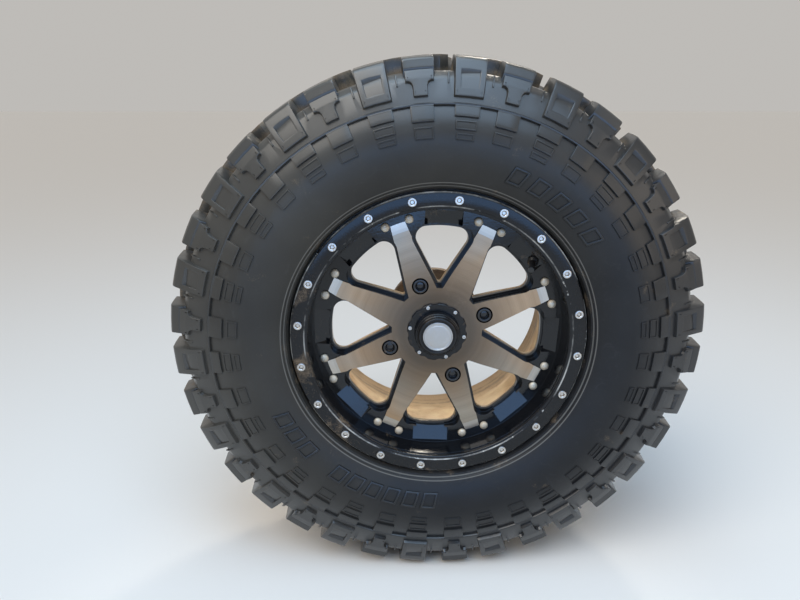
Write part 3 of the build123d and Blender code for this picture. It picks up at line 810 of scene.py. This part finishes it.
# Painted highlights: two thin pale lines along the ridges beside the rim.
rubbed_and_highlit = times(ramp(off_circles(reach, (203.2, 207.1)), 0.0009, 0.0003), 0.3)
painted_light_base = blend_colour(rubbed_and_highlit, painted_light_base, (0.34, 0.33, 0.31, 1))
dusted = blend_colour(times(cover["Mask"], 0.7), painted_light_base, cover["Colour"])
link(dusted, shader, "Base Color")
shine = times(ramp(reach, 0.25, 0.31), minus(1.0, cover["Mask"]))
link(times(shine, 0.75), shader, "Coat Weight")
soft = plus(0.3, times(skin["Value"], 0.3))
link(between(cover["Mask"], soft, 0.95), shader, "Roughness")
link(bump(plus(skin["Height"], cover["Height"]), 0.5, 0.00025), shader, "Normal")
tyre.data.materials.append(rubber)
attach(tyre, "wheel")
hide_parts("tyre")
print(tyre.name, "has", len(rubber.node_tree.nodes), "nodes in its material")


# %% [markdown]
# Where such a tyre carries raised outline lettering, this one has groups of plain slanted frames of
# the same height and spacing. One frame is drawn flat, thickened, and bent onto the sidewall by
# looking up how far out each of its points must lie.

# %% Sidewall frames
BAND = 232
bpy.ops.mesh.primitive_plane_add(size=1)
frames = bpy.context.object
edit(frames)
pick_all()
bpy.ops.transform.resize(value=(20 * MM, 22 * MM, 1))
pick(frames, lambda edge: middle(edge).y > 5 * MM, "EDGE")
bpy.ops.transform.translate(value=(5 * MM, 0, 0))
pick(frames, lambda face: True)
bpy.ops.mesh.inset(thickness=3 * MM, depth=0)
bpy.ops.mesh.delete(type="FACE")
pick(frames, lambda face: True)
bpy.ops.mesh.extrude_region_move(TRANSFORM_OT_translate={"value": (0, 0, 2.6 * MM)})
round_off(frames, lambda edge: middle(edge).z > 2.5 * MM, 0.6)
for line in (-8, -4, 0, 4, 8):
    for way in ((1, 0, 0), (0, 1, 0)):
        pick_all()
        bpy.ops.mesh.bisect(plane_co=(line * MM, line * MM, 0), plane_no=way)
sheet = bmesh.from_edit_mesh(frames.data)
for corner in sheet.verts:
    radius, turn = BAND + corner.co.y / MM, math.degrees(corner.co.x / (BAND * MM))
    out = np.interp(side(radius), groove_rows[:, 0], groove_rows[:, 2]) / MM
    corner.co = at(radius, 90 - turn, out + corner.co.z / MM - 0.8)
bmesh.update_edit_mesh(frames.data)
angles = []
for first, apart, count in ((68, 7.4, 5), (268, 6.6, 6), (221, 6.6, 3)):
    angles += [first - apart * k for k in range(count)]
copy_round(frames, angles, "sidewall_frames")
clean_rubber = dusty("clean_rubber", (0.005, 0.0055, 0.0065), 0.3, amount=0.03, patch=60.0, grain_scale=900.0)
settle(frames, "wheel", "tyre_rubber", [clean_rubber])

# %% [markdown]
# ## Alloy rim
# The rim's solid has the right shape but knife-sharp edges. A copy of its mesh is merged, its spare
# triangles are dissolved, and a narrow bevel gives every edge the small round that catches light.
# Weighted normals then keep the shading of the large faces flat right up to those rounds.

# %% Dressed copies of solids
def dressed_copy(node, name, round_edges, segments=2, smooth=35):
    """A copy of a solid's mesh, merged and tidied, with its sharp edges rounded."""
    focus(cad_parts[node])
    bpy.ops.object.duplicate()
    copy = bpy.context.object
    copy.parent = None
    copy.matrix_world = Matrix()
    copy.data.materials.clear()
    edit(copy)
    pick_all()
    bpy.ops.mesh.customdata_custom_splitnormals_clear()
    bpy.ops.mesh.remove_doubles(threshold=0.004 * MM)
    bpy.ops.mesh.dissolve_limited(angle_limit=math.radians(0.6))
    bpy.ops.object.mode_set(mode="OBJECT")
    rounder = copy.modifiers.new("rounded edges", "BEVEL")
    rounder.width = round_edges * MM
    rounder.segments = segments
    rounder.limit_method = "ANGLE"
    rounder.angle_limit = math.radians(30)
    rounder.miter_outer = "MITER_ARC"
    bpy.ops.object.modifier_apply(modifier=rounder.name)
    copy.name = copy.data.name = name
    bpy.ops.object.shade_smooth_by_angle(angle=math.radians(smooth))
    flatter = copy.modifiers.new("flat faces stay flat", "WEIGHTED_NORMAL")
    flatter.keep_sharp = True
    bpy.ops.object.modifier_apply(modifier=flatter.name)
    return copy


rim = dressed_copy("rim", "alloy_rim", 0.7, smooth=20)

# %% [markdown]
# The spoke faces are cut metal, darker near the hub and lighter towards the tips, with brown and grey
# patches painted in as reflections of brown ground. The lathe's circles stretch each highlight across
# them, which the shader's anisotropy does along a radial tangent. The sloping tips take a lighter copy
# of the same metal, a painted highlight.

# %% Machined spoke faces
def cut_metal(name, dark, light, brown, spread):
    """Turned metal, darker near the hub, with brown and grey patches painted as reflections."""
    plain = {"Metallic": 1.0, "Anisotropic": 0.6, "Coat_Weight": 0.2, "Coat_Roughness": 0.15}
    material, shader, place = new_material(name, **plain)
    lines = use_group(turning, Place=place, Scale=1700.0)
    cover = use_group(dust, Place=place, Amount=0.12, Patch_Scale=12.0, Speckles=0.35)
    # Painted reflections: brown and grey patches stand for brown ground mirrored in the metal.
    reflection_patches = noise(place, 7.0, 2.0)
    painted_reflection = blend_colour(ramp(reflection_patches, 0.33, 0.52), light, brown)
    hub_to_tip = ramp(radius_of(place), *spread)
    hub_to_tip = maths("ADD", hub_to_tip, times(reflection_patches, 0.2), clamp=True)
    metal = blend_colour(hub_to_tip, dark, painted_reflection)
    grooved = blend_colour(ramp(lines["Value"], 0.45, 1.15), (0.72, 0.72, 0.72, 1), (1, 1, 1, 1))
    turned = blend_colour(1.0, metal, grooved, "MULTIPLY")
    dusted = blend_colour(times(cover["Mask"], 0.45), turned, cover["Colour"])
    link(dusted, shader, "Base Color")
    even = plus(0.24, times(lines["Value"], 0.12))
    link(between(cover["Mask"], even, 0.7), shader, "Roughness")
    link(bump(lines["Height"], 0.25, 0.00003), shader, "Normal")
    radial = add_node(material.node_tree, "ShaderNodeTangent", direction_type="RADIAL", axis="Y")
    link(radial.outputs[0], shader, "Tangent")
    return material


machined_tones = {"dark": (0.09, 0.074, 0.059, 1), "light": (0.365, 0.315, 0.252, 1)}
machined = cut_metal("machined_faces", **machined_tones, brown=(0.43, 0.283, 0.168, 1), spread=(0.05, 0.13))
# Painted highlight: the sloping tips take a lighter copy of the spoke metal.
bright = {"dark": (0.4, 0.365, 0.32, 1), "light": (0.62, 0.565, 0.5, 1)}
lit_tip_metal = cut_metal("lit_tip_metal", **bright, brown=(0.6, 0.52, 0.42, 1), spread=(0.14, 0.158))


# %% [markdown]
# The rest of the rim is gloss black at the front. Dust settles on it the further back it lies, until
# the barrel behind the spokes is the colour of the road, so the dust's amount follows the depth.
# On the barrel the dust is also painted pale, as the sunlight that falls there.

# %% Gloss black with a dusty barrel
def dust_by_depth(place):
    """Little dust on the front of the rim, a thick coat behind it, thinner in bands at the back."""
    out = depth_out(place)
    behind = times(ramp(out, 0.051, 0.042), 0.84)
    bands = ramp(noise_along(out, 70.0, 3.0), 0.4, 0.65)
    rubbed_and_highlit = times(times(bands, ramp(out, 0.01, -0.05)), 0.3)
    return plus(minus(behind, rubbed_and_highlit), 0.05)


def sunlit_by_depth(place):
    """How much the dust is painted pale, as sunlight on it: most on the barrel, less again at the back."""
    out = depth_out(place)
    back = times(ramp(out, 0.0, -0.06), 0.85)
    return minus(ramp(out, 0.045, 0.03), back)


rim_dust = {"patch": 26.0, "speckles": 0.45, "amount": dust_by_depth, "pale": sunlit_by_depth}
gloss_black = dusty("gloss_black_rim", (0.005, 0.0056, 0.0072), 0.1, Specular_IOR_Level=0.42, **rim_dust)


FRAME_FACE, TIPS_START, SPOKES_END = 63.5, 145, 158.6
BLACK, MACHINED, TIP = 0, 1, 2


def finish_of(face):
    """The number of the material that a face of the rim takes, by its place and tilt."""
    out, reach = (CENTRE_Y - face.center.y) / MM, math.hypot(face.center.x, face.center.z) / MM
    if reach > SPOKES_END or out < FRAME_FACE + 0.05 or face.normal.y > -0.93:
        return BLACK
    # Tilted faces at the tips take the lighter metal, a painted highlight.
    return TIP if reach > TIPS_START and face.normal.y > -0.995 else MACHINED


settle(rim, "wheel", "rim_alloy", [gloss_black, machined, lit_tip_metal], "rim")
for face in rim.data.polygons:
    face.material_index = finish_of(face)
print("machined faces:", sum(face.material_index == MACHINED for face in rim.data.polygons))

# %% [markdown]
# ## Outer ring
# The ring is turned: its outline is drawn one point at a time by extruding a vertex, and spin
# carries it round the axle.

# %% Outline and spin
def lathe(name, outline, steps):
    """A piece turned about the axle from a closed outline of (radius, out) points in millimetres."""
    bpy.ops.mesh.primitive_plane_add(size=1 * MM)
    piece = bpy.context.object
    edit(piece, "VERT")
    pick_all()
    bpy.ops.mesh.merge(type="CENTER")
    points = [at(radius, 0, out) for radius, out in outline]
    bpy.ops.transform.translate(value=points[0])
    for here, there in zip(points, points[1:] + points[:1]):
        bpy.ops.mesh.extrude_region_move(TRANSFORM_OT_translate={"value": there - here})
    pick_all()
    bpy.ops.mesh.remove_doubles(threshold=0.002 * MM)
    bpy.ops.mesh.spin(steps=steps, angle=2 * math.pi, center=(0, 0, 0), axis=(0, 1, 0))
    return leave_edit(piece, name)


def rounded(corners, radius):
    """An outline with each of its corners rounded, by three points along a small curve."""
    points = []
    for before, corner, after in zip(corners[-1:] + corners[:-1], corners, corners[1:] + corners[:1]):
        corner = Vector(corner)
        ends = []
        for other in (before, after):
            way = Vector(other) - corner
            ends.append(corner + way * min(radius / way.length, 0.45))
        for t in (0, 0.5, 1):
            points.append((1 - t) ** 2 * ends[0] + 2 * t * (1 - t) * corner + t**2 * ends[1])
    return [tuple(point) for point in points]


RING_FACE = 102
ring_corners = [(173, 93), (195.9, 93), (195.9, 99.9), (193.9, RING_FACE), (177.6, RING_FACE)]
ring_corners += [(176.9, 101), (174.2, 101), (173, 99.8)]
outer_ring = lathe("outer_ring", rounded(ring_corners, 0.6), steps=144)


def ring_dust(place):
    """More dust on the lower left of the ring, where the wheel throws it."""
    low_left = ramp(towards(place, -0.9, -0.5), 0.02, 0.2)
    return plus(0.05, times(low_left, 0.12))


def ring_edge_highlight(place, uneven):
    """Thin painted highlight lines along the ring's outer and inner edges, broken up by the grain."""
    near = ramp(off_circles(radius_of(place), (195.1, 177.4)), 0.0011, 0.0003)
    return times(near, ramp(uneven, 0.3, 0.47))


ring_look = {"patch": 24.0, "speckles": 0.6, "amount": ring_dust, "worn_edge": ring_edge_highlight}
ring_black = dusty("ring_black", (0.0065, 0.007, 0.0085), 0.17, Specular_IOR_Level=0.3, **ring_look)
settle(outer_ring, "wheel", "ring_black", [ring_black], "beadlock_ring")


# %% [markdown]
# ## Screws, rivets and nuts
# Each kind of fastener is modelled once, upright at the origin, stood on the wheel's face at its top,
# and copied round the axle. The copies stay in one mesh, as the solids of one kind do. A ring screw
# has a hexagon socket, whose walls are painted near black as the shade inside it.

# %% Fasteners
def stand(piece, radius, out):
    """Stands a small piece, modelled upright at the origin, on the wheel's face at the top."""
    focus(piece)
    piece.matrix_world = Matrix.Translation(at(radius, 90, out)) @ Matrix.Rotation(math.radians(90), 4, "X")
    bpy.ops.object.transform_apply(location=True, rotation=True, scale=True)


def drum(radius, low, high, sides):
    """A cylinder primitive along Z, opened in edit mode with its top face selected."""
    bpy.ops.mesh.primitive_cylinder_add(
        vertices=sides, radius=radius * MM, depth=(high - low) * MM, location=(0, 0, (high + low) / 2 * MM)
    )
    piece = bpy.context.object
    focus(piece)
    bpy.ops.object.transform_apply(location=True, rotation=True, scale=True)
    edit(piece)
    pick(piece, lambda face: face.normal.z > 0.9)
    return piece


# %% Ring screws
def hexagon(piece, across_flats):
    """Moves the corners of the selected round face onto a hexagon."""
    sheet = bmesh.from_edit_mesh(piece.data)
    for corner in {corner for face in sheet.faces if face.select for corner in face.verts}:
        angle = math.atan2(corner.co.y, corner.co.x)
        reach = across_flats / 2 * MM / math.cos((angle % (math.pi / 3)) - math.pi / 6)
        corner.co.xy = (reach * math.cos(angle), reach * math.sin(angle))
    bmesh.update_edit_mesh(piece.data)


def socket_screw(head_radius, head_height, across_flats, depth, edge_width, slope=0.12):
    """A round head with a hexagon socket, standing on the origin."""
    screw = drum(head_radius, -1, head_height, sides=36)
    bpy.ops.mesh.inset(thickness=(head_radius - across_flats * 0.56) * MM, depth=0)
    hexagon(screw, across_flats)
    bpy.ops.mesh.inset(thickness=slope * MM, depth=-depth * MM)
    round_off(screw, lambda edge: edge.is_convex and middle(edge).z > 0, edge_width)
    return screw


def paint_sockets(piece, radius, out, reach, depth, centre_angles):
    """Gives the second material, a painted shade, to the walls of the sockets."""
    mids = [at(radius, angle, out) for angle in centre_angles]
    for face in piece.data.polygons:
        inside_one = any(math.hypot(face.center.x - m.x, face.center.z - m.z) < reach * MM for m in mids)
        if inside_one and face.normal.y > -0.9 and (CENTRE_Y - face.center.y) / MM < out + depth:
            face.material_index = 1


fine_grain = {"patch": 60.0, "grain_scale": 900.0}
zinc = dusty("zinc_steel", (0.5, 0.475, 0.44), 0.3, metallic=1.0, amount=0.12, speckles=0.3, **fine_grain)
# Painted shade: the socket walls take this near-black material.
socket_shade = dusty("socket_painted_shade", (0.02, 0.018, 0.015), 0.8, amount=0.3, patch=120.0)
SCREW_CIRCLE = 185.8
screw_angles = [101.17 - 18 * k for k in range(20)]
screw = socket_screw(5.5, head_height=2.6, across_flats=5.6, depth=2.2, edge_width=0.6, slope=0.85)
stand(screw, SCREW_CIRCLE, RING_FACE)
copy_round(screw, screw_angles, "ring_screws")
settle(screw, "wheel", "bolt_steel", [zinc, socket_shade], "ring_bolts")
paint_sockets(screw, SCREW_CIRCLE, RING_FACE, reach=2.75, depth=1.9, centre_angles=screw_angles)

# %% [markdown]
# Two domed rivet heads stand on the frame, one on each side of a spoke's tip. A head is half a ball,
# flattened, on a short drum that reaches into the frame. They are dustier than the ring's screws.

# %% Frame rivets
RIVET_CIRCLE = 160.1
bpy.ops.mesh.primitive_uv_sphere_add(segments=32, ring_count=16, radius=6 * MM)
rivet = bpy.context.object
edit(rivet)
pick_all()
bpy.ops.mesh.bisect(plane_co=(0, 0, 0), plane_no=(0, 0, -1), clear_outer=True, use_fill=True)
pick_all()
bpy.ops.transform.resize(value=(0.97, 0.97, 0.5))
pick(rivet, lambda face: face.normal.z < -0.9)
bpy.ops.mesh.extrude_region_move(TRANSFORM_OT_translate={"value": (0, 0, -1.6 * MM)})
pick_all()
bpy.ops.transform.translate(value=(0, 0, 1.1 * MM))
bpy.ops.object.mode_set(mode="OBJECT")
spoke_angles = [110 - 45 * k for k in range(8)]
stand(rivet, RIVET_CIRCLE, FRAME_FACE)
copy_round(rivet, [spoke + shift for spoke in spoke_angles for shift in (-5.98, 5.98)], "frame_rivets")
rivet_steel = dusty("dusty_rivets", (0.52, 0.5, 0.43), 0.34, metallic=0.9, amount=0.42, patch=70.0)
settle(rivet, "wheel", "rivet_steel", [rivet_steel], "spoke_rivets")

# %% [markdown]
# The four nuts are black, round and open, and fill their counterbores. Insets in the top face draw
# the nut's wall and sink its bore, and a last one raises the end of the stud in it.

# %% Lug nuts
LUG_CIRCLE, SPOKE_FACE = 68.5, 66
nut = drum(9.5, low=-17, high=1.0, sides=40)
bpy.ops.mesh.inset(thickness=3.0 * MM, depth=0)
bpy.ops.mesh.inset(thickness=0.15 * MM, depth=-7 * MM)
bpy.ops.mesh.inset(thickness=1.2 * MM, depth=0)
bpy.ops.mesh.inset(thickness=0.3 * MM, depth=2.2 * MM)
round_off(nut, lambda edge: middle(edge).z > -8 * MM, 0.6)
stand(nut, LUG_CIRCLE, SPOKE_FACE)
copy_round(nut, [110 - 90 * k for k in range(4)], "lug_nuts_black")
nut_black = dusty("nut_black", (0.008, 0.0085, 0.01), 0.2, amount=0.1, patch=50.0, speckles=0.4)
settle(nut, "wheel", "nut_black", [nut_black], "lug_nuts")

# %% [markdown]
# ## Centre cap
# The cap has a scalloped flange held by six screws and a stepped dome with a round badge. The badge
# is left plain: brushed metal with a raised rim.

# %% Cap
cap_black = dusty("cap_black", (0.006, 0.0065, 0.008), 0.2, amount=0.07, patch=50.0, Specular_IOR_Level=0.34)
cap_flange = dressed_copy("centre_cap", "cap_flange", 0.6, segments=3)
settle(cap_flange, "wheel", "cap_plastic", [cap_black], "centre_cap")
dome_corners = [(30.6, 67.5), (30.6, 79), (29.6, 80.4), (28.2, 80.8), (27.9, 82.6), (26.6, 83.2)]
dome_corners += [(25.6, 86.4), (24.6, 87), (22.4, 87), (22.0, 86.3), (20.6, 86.3), (20.3, 85.8)]
dome = lathe("cap_dome_black", rounded(dome_corners, 0.45) + [(0, 85.8), (0, 67.5)], steps=72)
settle(dome, "wheel", "cap_plastic", [cap_black], "cap_dome")
badge_corners = [(19.9, 85.6), (19.9, 87.5), (18.5, 87.5), (18.1, 86.8), (15.2, 86.8), (14.7, 87.1)]
badge = lathe("cap_badge", rounded(badge_corners, 0.2) + [(0, 87.4), (0, 85.6)], steps=72)
badge_silver = (0.4, 0.39, 0.375)
brushed = dusty("brushed_badge", badge_silver, 0.34, metallic=1.0, amount=0.14, patch=60.0, speckles=0.3)
settle(badge, "wheel", "emblem_silver", [brushed], "cap_emblem")
CAP_CIRCLE, CAP_FACE = 37.5, 70
cap_screw_angles = [110 + 60 * k for k in range(6)]
cap_screw = socket_screw(2.5, head_height=1.4, across_flats=2.4, depth=1.1, edge_width=0.3)
stand(cap_screw, CAP_CIRCLE, CAP_FACE)
copy_round(cap_screw, cap_screw_angles, "cap_screws_silver")
settle(cap_screw, "wheel", "bolt_steel", [zinc, socket_shade], "cap_screws")
paint_sockets(cap_screw, CAP_CIRCLE, CAP_FACE, reach=1.3, depth=0.9, centre_angles=cap_screw_angles)

# %% [markdown]
# ## Valve, studs, hub and housing
# These sit behind the spokes. Their solids have the right shapes, so merged copies with rounded
# edges are enough, each with a finish of its own.

# %% Pieces behind the spokes
valve_rubber = dusty("valve_rubber", (0.012, 0.012, 0.013), 0.4, amount=0.1, patch=60.0)
stud_steel = dusty("stud_steel", (0.42, 0.4, 0.36), 0.4, metallic=0.9, amount=0.45, patch=50.0)
sand_cast = {"patch": 18.0, "grain_scale": 700.0, "bumpy": 0.00012}
cast_iron = dusty("cast_iron", (0.13, 0.12, 0.11), 0.55, metallic=0.7, amount=0.45, **sand_cast)
bearing_steel = dusty("bearing_steel", (0.5, 0.5, 0.5), 0.25, metallic=1.0, amount=0.2, patch=40.0)
behind_spokes = [
    ("valve_stem", "tyre_valve", 0.4, "wheel", "valve_rubber", valve_rubber),
    ("wheel_studs", "wheel_studs_steel", 0.5, "wheel", "stud_steel", stud_steel),
    ("wheel_hub", "wheel_hub_iron", 0.8, "wheel", "hub_iron", cast_iron),
    ("hub_bearing", "hub_bearing_steel", 0.4, "housing", "bearing_steel", bearing_steel),
    ("bearing_housing", "bearing_housing_iron", 1.0, "housing", "hub_iron", cast_iron),
]
for node, name, round_edges, body, slot, finish in behind_spokes:
    settle(dressed_copy(node, name, round_edges), body, slot, [finish], node)
